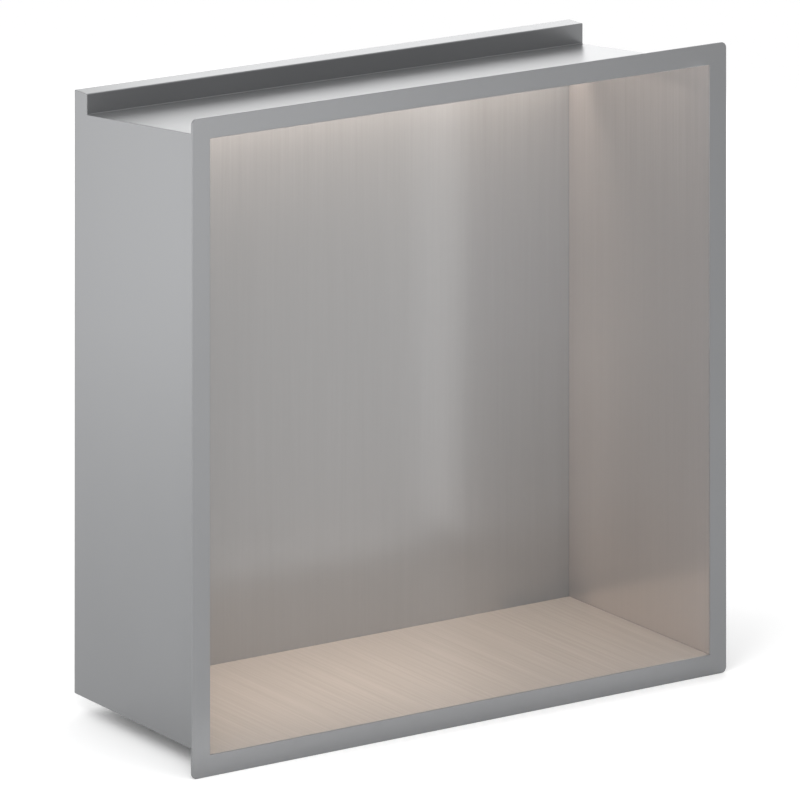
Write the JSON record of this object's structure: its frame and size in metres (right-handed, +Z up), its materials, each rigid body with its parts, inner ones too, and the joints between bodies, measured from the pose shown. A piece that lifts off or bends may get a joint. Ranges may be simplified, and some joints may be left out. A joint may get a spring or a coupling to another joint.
{
  "type": "shower niche insert",
  "caption": "Square open-fronted steel box with a narrow flange round its mouth and a light channel along its top rear edge, let into a shower wall as a shelf recess.",
  "frame": {"origin": "centre of the back panel's outer face", "axes": "+Y points into the wall, +Z is up, and the open mouth with its flange faces -Y"},
  "size_m": [0.321, 0.126, 0.321],
  "materials": {
    "brushed_stainless": "brushed inside, satin outside and on the flange"
  },
  "bodies": {
    "root": {"niche_body": "brushed_stainless"}
  },
  "joints": []
}
